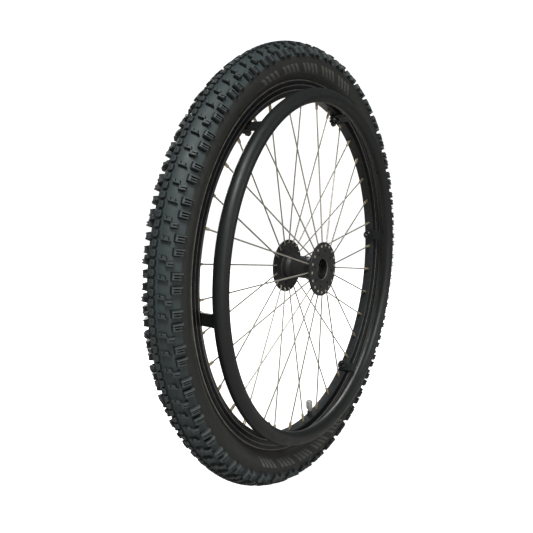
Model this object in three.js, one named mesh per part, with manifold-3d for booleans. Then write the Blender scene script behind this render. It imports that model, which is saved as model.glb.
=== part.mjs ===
// A spoked wheelchair drive wheel: knobbly tyre, double-wall rim, 36 radial spokes, high-flange hub and handrim.
// Millimetres. The axle runs along Y, -Y is the outboard side (the handrim's side) and +Z is up.
// The origin is on the axle, in the middle plane of the rim.
// Angles around the wheel are in degrees from +X towards +Z.
import * as THREE from "three";
import { mergeVertices } from "three/addons/utils/BufferGeometryUtils.js";
import Module from "manifold-3d";

// ---- Driving dimensions ----

const GAP = 0.3; // clearance between pieces that touch on the real wheel
const RING_SEGMENTS = 36; // facets around the rim, one for each spoke's nipple

const SPOKES = 36;
const SPOKE_STEP = 360 / SPOKES;
const FIRST_SPOKE_ANGLE = 5;
const VALVE_ANGLE = 280;
const BRACKETS = 6;
const FIRST_BRACKET_ANGLE = 10;

const BEAD_SEAT_RADIUS = 253.5; // the 507 mm rim size
const RIM_FLANGE_RADIUS = BEAD_SEAT_RADIUS + 6;
const RIM_WELL_RADIUS = 250.5;
const RIM_INNER_RADIUS = 239.4;
const RIM_WALL = 1.8;
const RIM_HALF_WIDTH = 11.5;
const RIM_HOOK_HALF_WIDTH = 9.5;
const RIM_BASE_HALF_WIDTH = 7;

const TYRE_RADIUS = 309;
const TYRE_HALF_WIDTH = 24.5;
const BEAD_TOE_HALF_WIDTH = 5.8; // half the space between the two beads
const KNOB_HEIGHT = 3.6;
const KNOB_ROWS = 48; // tread repeats around the tyre

const HANDRIM_RADIUS = 238; // to the middle of the tube
const HANDRIM_TUBE_RADIUS = 9.5;
const HANDRIM_WALL = 1.6;
const HANDRIM_PLANE = -35;
const BRACKET_WIDTH = 16;
const BRACKET_THICKNESS = 4;
const BOSS_RADIUS = 7.2;
const BOSS_LENGTH = 8;
const BOLT_RADIUS = 2.5;
const BOLT_HOLE_RADIUS = 2.9;
const BOLT_ACCESS_RADIUS = 5.2; // holes in the rim's outer wall that a bolt head passes through
const DRAIN_ANGLE = 40;
const DRAIN_RADIUS = 1.5;

const FLANGE_RADIUS = 38.4;
const FLANGE_THICKNESS = 3;
const OUTBOARD_FACE = -34; // outer face of the outboard flange
const INBOARD_FACE = 27.3; // outer face of the inboard flange
const HUB_END = 30.5;
const BARREL_RADIUS = 16;
const HOUSING_RADIUS = 19.3; // the thicker ends that hold the bearings
const SPOKE_CIRCLE_RADIUS = 33.5;
const LIGHTENING_CIRCLE_RADIUS = 25.2;
const LIGHTENING_HOLES = 8;
const FIRST_LIGHTENING_ANGLE = 35;
const LIGHTENING_RADIUS = 2.2;
const SPOKE_HOLE_RADIUS = 1.55;
const SHELL_BORE_RADIUS = 11.5; // between the bearings' shoulders

const SPOKE_RADIUS = 1;
const NIPPLE_RADIUS = 1.95;
const NIPPLE_LENGTH = 12; // the part that shows below the rim
const NIPPLE_HEAD_RADIUS = 2.9;
const NIPPLE_HOLE_RADIUS = 2.6;
const NIPPLE_ACCESS_RADIUS = 3.6; // holes in the rim's outer wall that a nipple passes through

const AXLE_RADIUS = 6.35; // the 12.7 mm quick-release axle
const BEARING_RADIUS = 14.2875;
const BEARING_WIDTH = 7.94;
const OUTER_RACE_BORE = 12;
const INNER_RACE_RADIUS = 8.7;
const RACE_GROOVE_DEPTH = 0.65;
const RACE_GROOVE_HALF_WIDTH = 2.4;
const BALL_RADIUS = 1.985;
const BALLS = 9;
const CAGE_INNER_RADIUS = 9.6;
const CAGE_OUTER_RADIUS = 11;
const CAGE_HALF_WIDTH = 1.1;
const SEAL_INNER_RADIUS = 9.1;
const SEAL_OUTER_RADIUS = 11.6;
const SEAL_HALF_THICKNESS = 0.25;
const SPACER_RADIUS = 8.2;
const OUTBOARD_BEARING = -22.5; // outer face of each bearing
const INBOARD_BEARING = 29.94;

const VALVE_TIP = 215; // the outer end of the valve's cap socket
const STEM_RADIUS = 3.1;
const JACKET_RADIUS = 3.9;
const STEM_BORE_RADIUS = 1.8;
const CORE_RADIUS = 1.3;
const CAP_RADIUS = 5;
const RIM_VALVE_HOLE_RADIUS = 4.5;
const TUBE_VALVE_HOLE_RADIUS = 4.7;

// ---- Worked-out places ----

const CHAMBER_FLOOR = RIM_INNER_RADIUS + RIM_WALL;
const CHAMBER_ROOF = RIM_WELL_RADIUS - 1.5;
const FACET_SLOPE = Math.tan(Math.PI / RING_SEGMENTS);
const BRACKET_TOP = RIM_INNER_RADIUS - (BRACKET_WIDTH / 2) * FACET_SLOPE - GAP;
const BOSS_END = BRACKET_TOP - BOSS_LENGTH;
const BALL_CIRCLE_RADIUS = (AXLE_RADIUS + BEARING_RADIUS) / 2;

// ---- Finishes ----

const tyreRubber = finish(0x23282a, 0.9, 0);
const tubeRubber = finish(0x1b1b1d, 0.8, 0);
const tapeCloth = finish(0x8a6a2a, 0.9, 0);
const blackAluminium = finish(0x191a1c, 0.45, 0.6);
const blackCoat = finish(0x17181b, 0.35, 0.2);
const steel = finish(0x9c9484, 0.3, 1);
const zincSteel = finish(0x2a2a2d, 0.5, 0.8);
const bearingSteel = finish(0xb4b6b8, 0.25, 1);
const sealRubber = finish(0x101114, 0.7, 0);
const brass = finish(0xa08a5a, 0.35, 1);
const capPlastic = finish(0xc9ccd0, 0.3, 0);

function finish(color, roughness, metalness) {
  return new THREE.MeshStandardMaterial({ color, roughness, metalness });
}

// ---- Solids ----

const wasm = await Module();
wasm.setup();

function solidOf(geometry) {
  const bare = geometry.clone();
  bare.deleteAttribute("normal");
  bare.deleteAttribute("uv");
  const merged = mergeVertices(bare);
  const vertProperties = new Float32Array(merged.attributes.position.array);
  const triVerts = new Uint32Array(merged.index.array);
  return new wasm.Manifold(new wasm.Mesh({ numProp: 3, vertProperties, triVerts }));
}

function geometryOf(solid) {
  const mesh = solid.getMesh();
  const geometry = new THREE.BufferGeometry();
  geometry.setAttribute("position", new THREE.BufferAttribute(mesh.vertProperties, 3));
  geometry.setIndex(new THREE.BufferAttribute(mesh.triVerts, 1));
  geometry.computeVertexNormals();
  return geometry;
}

// A closed outline of [radius, y] points, turned around the axle.
function ring(outline, segments = RING_SEGMENTS) {
  const points = [...outline, outline[0]].map(([radius, y]) => new THREE.Vector2(radius, y));
  return new THREE.LatheGeometry(points, segments);
}

// One side of an outline and its mirror image across the middle plane.
function bothSides(half) {
  const mirrored = half.map(([radius, y]) => [radius, -y]).reverse();
  return [...half, ...mirrored];
}

// A closed surface through one outline at each step around the axle.
function ringOfOutlines(outlines) {
  const rows = outlines.length;
  const columns = outlines[0].length;
  const positions = [];
  const indices = [];
  outlines.forEach((outline, row) => {
    const turn = (2 * Math.PI * row) / rows;
    outline.forEach(([radius, y], column) => {
      positions.push(radius * Math.cos(turn), y, radius * Math.sin(turn));
      const here = row * columns + column;
      const above = row * columns + ((column + 1) % columns);
      const beside = ((row + 1) % rows) * columns + column;
      const across = ((row + 1) % rows) * columns + ((column + 1) % columns);
      indices.push(here, above, beside, above, across, beside);
    });
  });
  const geometry = new THREE.BufferGeometry();
  geometry.setAttribute("position", new THREE.Float32BufferAttribute(positions, 3));
  geometry.setIndex(indices);
  return geometry;
}

// A round bar through stations of { x, y, slope, radius } in the plane z = 0, with flat ends.
// The slope is the angle of the bar's centre line from +X towards +Y.
function bar(stations, sides = 6) {
  const positions = [];
  const indices = [];
  stations.forEach(({ x, y, slope, radius }) => {
    for (let side = 0; side < sides; side += 1) {
      const turn = (2 * Math.PI * side) / sides;
      const across = radius * Math.cos(turn);
      positions.push(x - across * Math.sin(slope), y + across * Math.cos(slope), radius * Math.sin(turn));
    }
  });
  for (let row = 0; row < stations.length - 1; row += 1) {
    for (let side = 0; side < sides; side += 1) {
      const next = (side + 1) % sides;
      const here = row * sides;
      const ahead = here + sides;
      indices.push(here + side, here + next, ahead + side, here + next, ahead + next, ahead + side);
    }
  }
  const last = (stations.length - 1) * sides;
  for (let side = 1; side < sides - 1; side += 1) {
    indices.push(0, side + 1, side);
    indices.push(last, last + side, last + side + 1);
  }
  const geometry = new THREE.BufferGeometry();
  geometry.setAttribute("position", new THREE.Float32BufferAttribute(positions, 3));
  geometry.setIndex(indices);
  return geometry;
}

// A straight round bar along the radius, from pairs of [distance from the axle, bar radius].
function radialBar(steps, sides = 12) {
  return bar(steps.map(([x, radius]) => ({ x, y: 0, slope: 0, radius })), sides);
}

// A cutter for a hole along the radius at the given angle.
function radialHole(angle, radius, from, to, sides) {
  return solidOf(radialBar([[from, radius], [to, radius]], sides)).rotate([0, -angle, 0]);
}

// A cutter for a hole along the axle's direction, on a circle around the axle.
function axialHole(angle, circle, radius, from, to, sides) {
  const cutter = new THREE.CylinderGeometry(radius, radius, to - from, sides);
  cutter.translate(circle, (from + to) / 2, 0);
  return solidOf(cutter).rotate([0, -angle, 0]);
}

const wheel = new THREE.Group();

function add(name, geometry, material, angle = 0) {
  const mesh = new THREE.Mesh(geometry, material);
  mesh.name = name;
  mesh.rotation.y = -THREE.MathUtils.degToRad(angle);
  wheel.add(mesh);
}

// ---- Tyre, inner tube and rim tape ----

// The tyre's outline: beads on the rim's seat, round sidewalls, and a tread that rises by knobHeight.
function tyreOutline(knobHeight) {
  const crown = TYRE_RADIUS - KNOB_HEIGHT + knobHeight;
  const heel = RIM_HOOK_HALF_WIDTH - 0.4;
  const seat = BEAD_SEAT_RADIUS + GAP;
  return bothSides([
    [300, -12],
    [277, -19.5],
    [264.5, -8.4],
    [seat, -BEAD_TOE_HALF_WIDTH],
    [seat, -heel],
    [RIM_FLANGE_RADIUS + 1, -heel],
    [268.5, -18.2],
    [280, -TYRE_HALF_WIDTH],
    [294 + 0.6 * knobHeight, -21.2 - 0.5 * knobHeight],
    [crown, -6],
  ]);
}

function tyre() {
  const outlines = [];
  for (let row = 0; row < KNOB_ROWS; row += 1) {
    outlines.push(tyreOutline(KNOB_HEIGHT), tyreOutline(0));
  }
  return ringOfOutlines(outlines);
}

function innerTube() {
  const segments = 36;
  const skinHalf = [[298.5, -10.5], [277, -18.2], [264.6, -7.2], [256.5, -4.6]];
  const airHalf = [[297.2, -9.6], [277.2, -17], [265.2, -6.25], [257.9, -3.7]];
  const skin = solidOf(ring(bothSides(skinHalf).reverse(), segments));
  const air = solidOf(ring(bothSides(airHalf).reverse(), segments));
  const stemHole = radialHole(VALVE_ANGLE, TUBE_VALVE_HOLE_RADIUS, 250, 262, 8);
  return geometryOf(skin.subtract(air).subtract(stemHole));
}

function rimTape() {
  const halfWidth = 5;
  const from = RIM_WELL_RADIUS + GAP;
  const band = solidOf(ring([[from, -halfWidth], [from + 1, -halfWidth], [from + 1, halfWidth], [from, halfWidth]]));
  return geometryOf(band.subtract(radialHole(VALVE_ANGLE, TUBE_VALVE_HOLE_RADIUS, from - 2, from + 3, 8)));
}

// ---- Rim ----

function rim() {
  const outside = ring(
    bothSides([
      [RIM_WELL_RADIUS, -5.6],
      [BEAD_SEAT_RADIUS, -7],
      [BEAD_SEAT_RADIUS, -RIM_HOOK_HALF_WIDTH],
      [RIM_FLANGE_RADIUS, -RIM_HOOK_HALF_WIDTH],
      [RIM_FLANGE_RADIUS, -RIM_HALF_WIDTH],
      [246.5, -10.6],
      [RIM_INNER_RADIUS, -RIM_BASE_HALF_WIDTH],
    ]).reverse(),
  );
  const chamber = ring([
    [CHAMBER_FLOOR, -6],
    [CHAMBER_ROOF, -8.8],
    [CHAMBER_ROOF, 8.8],
    [CHAMBER_FLOOR, 6],
  ]);
  let body = solidOf(outside).subtract(solidOf(chamber));
  const middle = (CHAMBER_FLOOR + CHAMBER_ROOF) / 2;
  const below = RIM_INNER_RADIUS - 4;
  const above = RIM_WELL_RADIUS + 2;
  const cutters = [radialHole(VALVE_ANGLE, RIM_VALVE_HOLE_RADIUS, below, above, 8)];
  for (let index = 0; index < SPOKES; index += 1) {
    const angle = FIRST_SPOKE_ANGLE + index * SPOKE_STEP;
    cutters.push(radialHole(angle, NIPPLE_HOLE_RADIUS, below, middle, 6));
    cutters.push(radialHole(angle, NIPPLE_ACCESS_RADIUS, middle, above, 6));
  }
  for (let index = 0; index < BRACKETS; index += 1) {
    const angle = FIRST_BRACKET_ANGLE + (index * 360) / BRACKETS;
    cutters.push(radialHole(angle, BOLT_HOLE_RADIUS, below, middle, 8));
    cutters.push(radialHole(angle, BOLT_ACCESS_RADIUS, middle, above, 8));
  }
  cutters.forEach((cutter) => {
    body = body.subtract(cutter);
  });
  return geometryOf(body);
}

// ---- Handrim with its six welded brackets, and the bolts ----

function circleOutline(centre, plane, radius, sides) {
  const outline = [];
  for (let side = 0; side < sides; side += 1) {
    const turn = (2 * Math.PI * side) / sides;
    outline.push([centre + radius * Math.cos(turn), plane + radius * Math.sin(turn)]);
  }
  return outline;
}

// A flat arm from the handrim's tube to a round end over the bolt, wider where it meets the tube.
function bracketArm() {
  const half = BRACKET_WIDTH / 2;
  const root = HANDRIM_PLANE + 5;
  const outline = new THREE.Shape();
  outline.moveTo(half + 5, root);
  outline.quadraticCurveTo(half, root + 5, half, root + 11);
  outline.lineTo(half, 0);
  outline.absarc(0, 0, half, 0, Math.PI, false);
  outline.lineTo(-half, root + 11);
  outline.quadraticCurveTo(-half, root + 5, -half - 5, root);
  outline.closePath();
  const arm = new THREE.ExtrudeGeometry(outline, {
    depth: BRACKET_THICKNESS,
    curveSegments: 4,
    bevelEnabled: false,
  });
  arm.rotateY(Math.PI / 2);
  arm.translate(BRACKET_TOP - BRACKET_THICKNESS, 0, 0);
  return solidOf(arm);
}

function handrim() {
  const segments = 48;
  const tubeCavity = HANDRIM_TUBE_RADIUS - HANDRIM_WALL;
  const skin = ring(circleOutline(HANDRIM_RADIUS, HANDRIM_PLANE, HANDRIM_TUBE_RADIUS, 9), segments);
  const cavity = ring(circleOutline(HANDRIM_RADIUS, HANDRIM_PLANE, tubeCavity, 5), segments);
  const boss = radialBar([[BOSS_END, BOSS_RADIUS], [BRACKET_TOP - 1, BOSS_RADIUS]]);
  const bracket = bracketArm().add(solidOf(boss));
  let body = solidOf(skin);
  for (let index = 0; index < BRACKETS; index += 1) {
    const angle = FIRST_BRACKET_ANGLE + (index * 360) / BRACKETS;
    body = body.add(bracket.rotate([0, -angle, 0]));
    body = body.subtract(radialHole(angle, BOLT_HOLE_RADIUS, BOSS_END - 2, BRACKET_TOP + 2, 8));
  }
  const drainStart = HANDRIM_RADIUS - HANDRIM_TUBE_RADIUS - 3;
  const drain = radialHole(DRAIN_ANGLE, DRAIN_RADIUS, drainStart, HANDRIM_RADIUS, 6);
  body = body.subtract(solidOf(cavity)).subtract(drain.translate([0, HANDRIM_PLANE, 0]));
  return geometryOf(body);
}

// A screw with its head inside the rim and its nut on the boss of the bracket.
function handrimBolt() {
  const headSeat = CHAMBER_FLOOR + 0.2;
  const nutTop = BOSS_END - GAP;
  const screw = radialBar([
    [nutTop - 6.2, BOLT_RADIUS],
    [headSeat, BOLT_RADIUS],
    [headSeat, 4.4],
    [headSeat + 3, 4],
  ], 8);
  const nut = radialBar([[nutTop - 4.2, 4.6], [nutTop, 4.6]], 6);
  return geometryOf(solidOf(screw).add(solidOf(nut)));
}

// ---- Hub shell ----

function hubShell() {
  const seat = BEARING_RADIUS + 0.36;
  const outboardInner = OUTBOARD_FACE + FLANGE_THICKNESS;
  const inboardInner = INBOARD_FACE - FLANGE_THICKNESS;
  const shell = ring([
    [seat + 0.8, OUTBOARD_FACE],
    [FLANGE_RADIUS, OUTBOARD_FACE],
    [FLANGE_RADIUS, outboardInner],
    [HOUSING_RADIUS + 3, outboardInner],
    [HOUSING_RADIUS, outboardInner + 3],
    [HOUSING_RADIUS, -19],
    [BARREL_RADIUS, -12],
    [BARREL_RADIUS, 12],
    [HOUSING_RADIUS, 17],
    [HOUSING_RADIUS, inboardInner - 1.5],
    [HOUSING_RADIUS + 1.5, inboardInner],
    [FLANGE_RADIUS, inboardInner],
    [FLANGE_RADIUS, INBOARD_FACE],
    [HOUSING_RADIUS, INBOARD_FACE],
    [HOUSING_RADIUS, HUB_END],
    [seat, HUB_END],
    [seat, INBOARD_BEARING - BEARING_WIDTH - GAP],
    [SHELL_BORE_RADIUS, INBOARD_BEARING - BEARING_WIDTH - GAP],
    [SHELL_BORE_RADIUS, OUTBOARD_BEARING + BEARING_WIDTH + GAP],
    [seat, OUTBOARD_BEARING + BEARING_WIDTH + GAP],
    [seat, OUTBOARD_FACE + 0.8],
  ], 36);
  let body = solidOf(shell);
  const flanges = [
    { from: OUTBOARD_FACE - 1, to: outboardInner + 1, firstHole: FIRST_SPOKE_ANGLE },
    { from: inboardInner - 1, to: INBOARD_FACE + 1, firstHole: FIRST_SPOKE_ANGLE + SPOKE_STEP },
  ];
  flanges.forEach(({ from, to, firstHole }) => {
    for (let index = 0; index < SPOKES / 2; index += 1) {
      const angle = firstHole + 2 * SPOKE_STEP * index;
      body = body.subtract(axialHole(angle, SPOKE_CIRCLE_RADIUS, SPOKE_HOLE_RADIUS, from, to, 6));
    }
    for (let index = 0; index < LIGHTENING_HOLES; index += 1) {
      const angle = FIRST_LIGHTENING_ANGLE + (index * 360) / LIGHTENING_HOLES;
      body = body.subtract(axialHole(angle, LIGHTENING_CIRCLE_RADIUS, LIGHTENING_RADIUS, from, to, 6));
    }
  });
  return geometryOf(body);
}

// ---- Spokes ----

// A spoke and its nipple. The head lies on the flange's outer face, and the spoke leaves from the inner face.
// outward is -1 on the outboard flange and 1 on the inboard one.
function spoke(outerFace, outward) {
  const innerFace = outerFace - outward * FLANGE_THICKNESS;
  const elbow = { x: SPOKE_CIRCLE_RADIUS + 1.4, y: innerFace - outward * 1.8 };
  const seatRadius = RIM_INNER_RADIUS + RIM_WALL / 2;
  const slope = Math.atan2(-elbow.y, seatRadius - elbow.x);
  const inwards = (-outward * Math.PI) / 2;
  const nippleStart = RIM_INNER_RADIUS - NIPPLE_LENGTH;
  const headSeat = CHAMBER_FLOOR + 0.6;
  const at = (x, radius) => ({ x, y: (x - seatRadius) * Math.tan(slope), slope, radius });
  return bar([
    { x: SPOKE_CIRCLE_RADIUS, y: outerFace + outward * 1.4, slope: inwards, radius: 2 },
    { x: SPOKE_CIRCLE_RADIUS, y: outerFace + outward * GAP, slope: inwards, radius: SPOKE_RADIUS },
    { x: SPOKE_CIRCLE_RADIUS, y: innerFace - outward * 0.4, slope: inwards * 0.75, radius: SPOKE_RADIUS },
    { ...elbow, slope: slope + (inwards - slope) * 0.25, radius: SPOKE_RADIUS },
    at(nippleStart, SPOKE_RADIUS),
    at(nippleStart, NIPPLE_RADIUS),
    at(headSeat, NIPPLE_RADIUS),
    at(headSeat + 1.6, NIPPLE_HEAD_RADIUS),
  ], 5);
}

// ---- Bearings ----

function bearing(side, outerFace, outward) {
  const middle = outerFace - (outward * BEARING_WIDTH) / 2;
  const half = BEARING_WIDTH / 2;
  const turned = (outline, count = 18) => ring(outline.map(([radius, y]) => [radius, middle + y]), count);
  const shoulder = RACE_GROOVE_HALF_WIDTH;
  const bottom = RACE_GROOVE_HALF_WIDTH / 2;
  const outerGroove = OUTER_RACE_BORE + RACE_GROOVE_DEPTH;
  const innerGroove = INNER_RACE_RADIUS - RACE_GROOVE_DEPTH;
  const outerRace = turned([
    [OUTER_RACE_BORE, -half],
    [BEARING_RADIUS, -half],
    [BEARING_RADIUS, half],
    [OUTER_RACE_BORE, half],
    [OUTER_RACE_BORE, shoulder],
    [outerGroove, bottom],
    [outerGroove, -bottom],
    [OUTER_RACE_BORE, -shoulder],
  ], 24);
  const innerRace = turned([
    [AXLE_RADIUS, -half],
    [INNER_RACE_RADIUS, -half],
    [INNER_RACE_RADIUS, -shoulder],
    [innerGroove, -bottom],
    [innerGroove, bottom],
    [INNER_RACE_RADIUS, shoulder],
    [INNER_RACE_RADIUS, half],
    [AXLE_RADIUS, half],
  ]);
  const sealMiddle = outward * (half - 0.6);
  const seal = turned([
    [SEAL_INNER_RADIUS, sealMiddle - SEAL_HALF_THICKNESS],
    [SEAL_OUTER_RADIUS, sealMiddle - SEAL_HALF_THICKNESS],
    [SEAL_OUTER_RADIUS, sealMiddle + SEAL_HALF_THICKNESS],
    [SEAL_INNER_RADIUS, sealMiddle + SEAL_HALF_THICKNESS],
  ]);
  let cage = solidOf(turned([
    [CAGE_INNER_RADIUS, -CAGE_HALF_WIDTH],
    [CAGE_OUTER_RADIUS, -CAGE_HALF_WIDTH],
    [CAGE_OUTER_RADIUS, CAGE_HALF_WIDTH],
    [CAGE_INNER_RADIUS, CAGE_HALF_WIDTH],
  ]));
  for (let index = 0; index < BALLS; index += 1) {
    const ball = new THREE.IcosahedronGeometry(BALL_RADIUS).translate(BALL_CIRCLE_RADIUS, middle, 0);
    cage = cage.add(solidOf(ball).rotate([0, (-index * 360) / BALLS, 0]));
  }
  add(`${side}_bearing_outer_race`, outerRace, bearingSteel);
  add(`${side}_bearing_inner_race`, innerRace, bearingSteel);
  add(`${side}_bearing_balls`, geometryOf(cage), bearingSteel);
  add(`${side}_bearing_seal`, seal, sealRubber);
}

function bearingSpacer() {
  const from = OUTBOARD_BEARING + BEARING_WIDTH + GAP;
  const to = INBOARD_BEARING - BEARING_WIDTH - GAP;
  const bore = AXLE_RADIUS + 0.15;
  return ring([[bore, from], [SPACER_RADIUS, from], [SPACER_RADIUS, to], [bore, to]], 18);
}

// ---- Valve ----

// The brass tube in its rubber jacket, with the base that is bonded to the inner tube.
function valveStem() {
  const body = radialBar([
    [VALVE_TIP + 1.5, STEM_RADIUS],
    [232, STEM_RADIUS],
    [233, JACKET_RADIUS],
    [264.2, JACKET_RADIUS],
    [264.2, JACKET_RADIUS + 1.3],
    [265.6, JACKET_RADIUS + 0.8],
  ]);
  const bore = radialBar([[VALVE_TIP - 1, STEM_BORE_RADIUS], [267, STEM_BORE_RADIUS]], 8);
  return geometryOf(solidOf(body).subtract(solidOf(bore)));
}

function valveCore() {
  return radialBar([[VALVE_TIP + 2.5, 0.8], [222, 0.8], [222, CORE_RADIUS], [238, CORE_RADIUS]], 8);
}

function valveCap() {
  const shell = radialBar([[VALVE_TIP - 1.2, CAP_RADIUS - 1], [VALVE_TIP, CAP_RADIUS], [227, CAP_RADIUS]]);
  const socket = radialBar([[VALVE_TIP + 0.6, 3.6], [229, 3.6]]);
  return geometryOf(solidOf(shell).subtract(solidOf(socket)));
}

// ---- The wheel ----

add("tyre", tyre(), tyreRubber);
add("inner_tube", innerTube(), tubeRubber);
add("rim_tape", rimTape(), tapeCloth);
add("rim", rim(), blackAluminium);
add("handrim", handrim(), blackCoat);
add("hub_shell", hubShell(), blackAluminium);
bearing("outboard", OUTBOARD_BEARING, -1);
bearing("inboard", INBOARD_BEARING, 1);
add("bearing_spacer", bearingSpacer(), bearingSteel);
add("valve_stem", valveStem(), brass, VALVE_ANGLE);
add("valve_core", valveCore(), brass, VALVE_ANGLE);
add("valve_cap", valveCap(), capPlastic, VALVE_ANGLE);

const boltGeometry = handrimBolt();
for (let index = 0; index < BRACKETS; index += 1) {
  const angle = FIRST_BRACKET_ANGLE + (index * 360) / BRACKETS;
  add(`handrim_bolt_${index + 1}`, boltGeometry, zincSteel, angle);
}

const outboardSpoke = spoke(OUTBOARD_FACE, -1);
const inboardSpoke = spoke(INBOARD_FACE, 1);
for (let index = 0; index < SPOKES; index += 1) {
  const number = String(index + 1).padStart(2, "0");
  const angle = FIRST_SPOKE_ANGLE + index * SPOKE_STEP;
  add(`spoke_${number}`, index % 2 === 0 ? outboardSpoke : inboardSpoke, steel, angle);
}

export default wheel;
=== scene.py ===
import math

import bmesh
import bpy
import numpy as np
from mathutils import Matrix, Vector


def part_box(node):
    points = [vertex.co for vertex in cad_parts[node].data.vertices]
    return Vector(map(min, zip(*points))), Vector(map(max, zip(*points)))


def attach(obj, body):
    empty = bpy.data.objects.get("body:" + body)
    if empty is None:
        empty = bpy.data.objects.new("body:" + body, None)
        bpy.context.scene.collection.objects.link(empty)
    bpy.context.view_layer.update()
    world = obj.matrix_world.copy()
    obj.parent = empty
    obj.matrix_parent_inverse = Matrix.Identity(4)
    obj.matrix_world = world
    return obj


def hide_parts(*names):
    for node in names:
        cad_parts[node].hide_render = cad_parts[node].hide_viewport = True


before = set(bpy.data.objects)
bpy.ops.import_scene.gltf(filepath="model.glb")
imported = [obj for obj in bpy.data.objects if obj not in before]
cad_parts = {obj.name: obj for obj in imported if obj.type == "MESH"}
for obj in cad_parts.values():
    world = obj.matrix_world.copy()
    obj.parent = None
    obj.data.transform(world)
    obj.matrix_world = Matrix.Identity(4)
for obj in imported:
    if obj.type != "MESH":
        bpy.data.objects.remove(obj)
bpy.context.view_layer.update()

# A wheelchair drive wheel. Lengths are millimetres until a mesh is made, and angles are degrees.
# The axle runs along Y, -Y is the outboard side, and angles around the wheel run from +X towards +Z.

MM = 0.001
STEPS = 288  # steps around the large rings
FINE_STEPS = 2 * STEPS  # steps around the tyre's casing
SMALL_STEPS = 96  # steps around the bearings


def edge_of(node, axis, highest=True):
    """A side of a CAD node's box along one axis, in millimetres."""
    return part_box(node)[1 if highest else 0][axis] / MM


# ---- Places that follow the frame ----

TYRE_RADIUS = edge_of("tyre", 0)
TUBE_CENTRE = 283.3  # radius of the circle at the middle of the tyre's section
TREAD_LEVEL = TYRE_RADIUS - TUBE_CENTRE
CASING_LEVEL = TREAD_LEVEL - 3.9
CASING_BULGE = 2.4  # how much further out the sidewall is than the crown
CASING_INSIDE = 20.4
CROWN_BAND_HALF = 12.0  # degrees from the crown to the edge of the raised band under the centre blocks
CROWN_BAND_RISE = 0.8
SIDEWALL_RIBS = (137, 142, 147)  # degrees from the crown
SHOULDER_RISE = 2.2  # how much further out the shoulder blocks reach than the centre ones
BEAD_SEAT = 253.8
BEAD_HALF = 9.0
TUBE_SKIN = 19.5  # radius of the inner tube's section
TUBE_AIR = 0.94  # the inside of the inner tube as a share of its outside
TAPE_INSIDE = 250.8
TAPE_OUTSIDE = 251.9
TAPE_HALF = 5.0
TUBE_VALVE_HOLE = 4.7

RIM_LIP = edge_of("rim", 0)
RIM_HALF = edge_of("rim", 1)
RIM_SEAT = 253.5
RIM_WELL = 250.5
RIM_SHOULDER = 246.5
RIM_INNER = 239.4
RIM_BASE_HALF = 7.0
RIM_HOOK_HALF = 9.5
CHAMBER_FLOOR = 241.2
CHAMBER_ROOF = 249.0
RIM_VALVE_HOLE = 4.5

HANDRIM_TUBE = 9.5
HANDRIM_WALL = 1.6
HANDRIM_PLANE = edge_of("handrim", 1, False) + HANDRIM_TUBE
HANDRIM_RADIUS = 238.0
DRAIN_ANGLE = 40
BRACKETS = 6
BRACKET_START = 10
BRACKET_WIDTH = 16.0
BRACKET_THICKNESS = 4.0
BRACKET_TOP = 238.4
BOSS_END = BRACKET_TOP - 8
BOSS_RADIUS = 7.2
BOLT_RADIUS = 2.5

FLANGE_RADIUS = edge_of("hub_shell", 0)
FLANGE_THICKNESS = 3.0
OUTBOARD_FACE = edge_of("hub_shell", 1, False)
HUB_END = edge_of("hub_shell", 1)
INBOARD_FACE = HUB_END - 3.2
HOUSING_RADIUS = 19.3
BARREL_RADIUS = 16.0
SPOKE_CIRCLE = 33.5
LIGHTENING_CIRCLE = 25.2
LIGHTENING_HOLES = 8
LIGHTENING_START = 35
LIGHTENING_RADIUS = 2.2

SPOKES = 36
SPOKE_START = 5
SPOKE_RADIUS = 1.0
INBOARD_SPOKE_START = SPOKE_START + 360 / SPOKES
NIPPLE_RADIUS = 1.95
NIPPLE_FLATS = 1.62
NIPPLE_START = RIM_INNER - 12

AXLE_RADIUS = 6.35
BEARING_RADIUS = 14.2875
BEARING_WIDTH = 7.94
INNER_SHOULDER = 8.7
OUTER_SHOULDER = 12.0
BALLS = 9
BALL_RADIUS = 1.985
BALL_CIRCLE = (AXLE_RADIUS + BEARING_RADIUS) / 2

VALVE_ANGLE = 280
VALVE_TIP = 215.0
CAP_RIBS = 20

# ---- Tread ----

REPEATS = 48
REPEAT_STEP = 360 / REPEATS
PAIR_START = 6.2  # angle around the wheel of the first pair of shoulder blocks
PAIR_HALF = 1.37
CENTRE_BLOCKS = REPEATS * 4
RING_MM = 25.0  # radius that turns millimetres across the tread into degrees around the tyre's section
CRISP = 14  # edges sharper than this many degrees stay crisp on the outer rows

# Each tread block: size of its top in mm (length around the tyre, width across it), draft of its
# walls, how far it leans, how much its corners are pinched in, how much higher its sidewall end is
# (tilt), how far one corner at that end is drawn out towards the sidewall (fin), at which end of its
# length that corner is, and its grooves. A groove is a box: from and to around the tyre, from and to
# across it, and its depth as a share of the block.
EDGE_BEVEL = 0.25
GROOVE_WALL = 0.14
FOOT_LEVEL = -0.1  # the foot, and the rim of the top, as shares of the block's height
RIM_LEVEL = 0.94
SHOULDER_BLOCK = {
    "length": 6.8, "width": 9.0, "draft": 1.4, "lean": 0.0, "pinch": 0.0, "tilt": 0.12,
    "fin": 2.2, "fin_end": -1,
    "grooves": ((-2.2, 2.2, -9, 9, 0.12), (-2.2, -0.7, -2.4, 9, 0.6), (0.7, 2.2, -2.4, 9, 0.6)),
}
BETWEEN_BLOCK = {
    "length": 4.8, "width": 6.8, "draft": 1.0, "lean": 0.0, "pinch": 0.0, "tilt": 0.05,
    "fin": 1.2, "fin_end": -1,
    "grooves": ((-0.6, 0.6, -0.9, 9, 0.45),),
}
MIDDLE_BLOCK = {
    "length": 4.2, "width": 7.8, "draft": 1.0, "lean": 0.7, "pinch": 0.0, "tilt": 0.0,
    "fin": 2.2, "fin_end": 1,
    "grooves": ((-9, 0.5, -1.3, -0.1, 0.45),),
}
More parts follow.
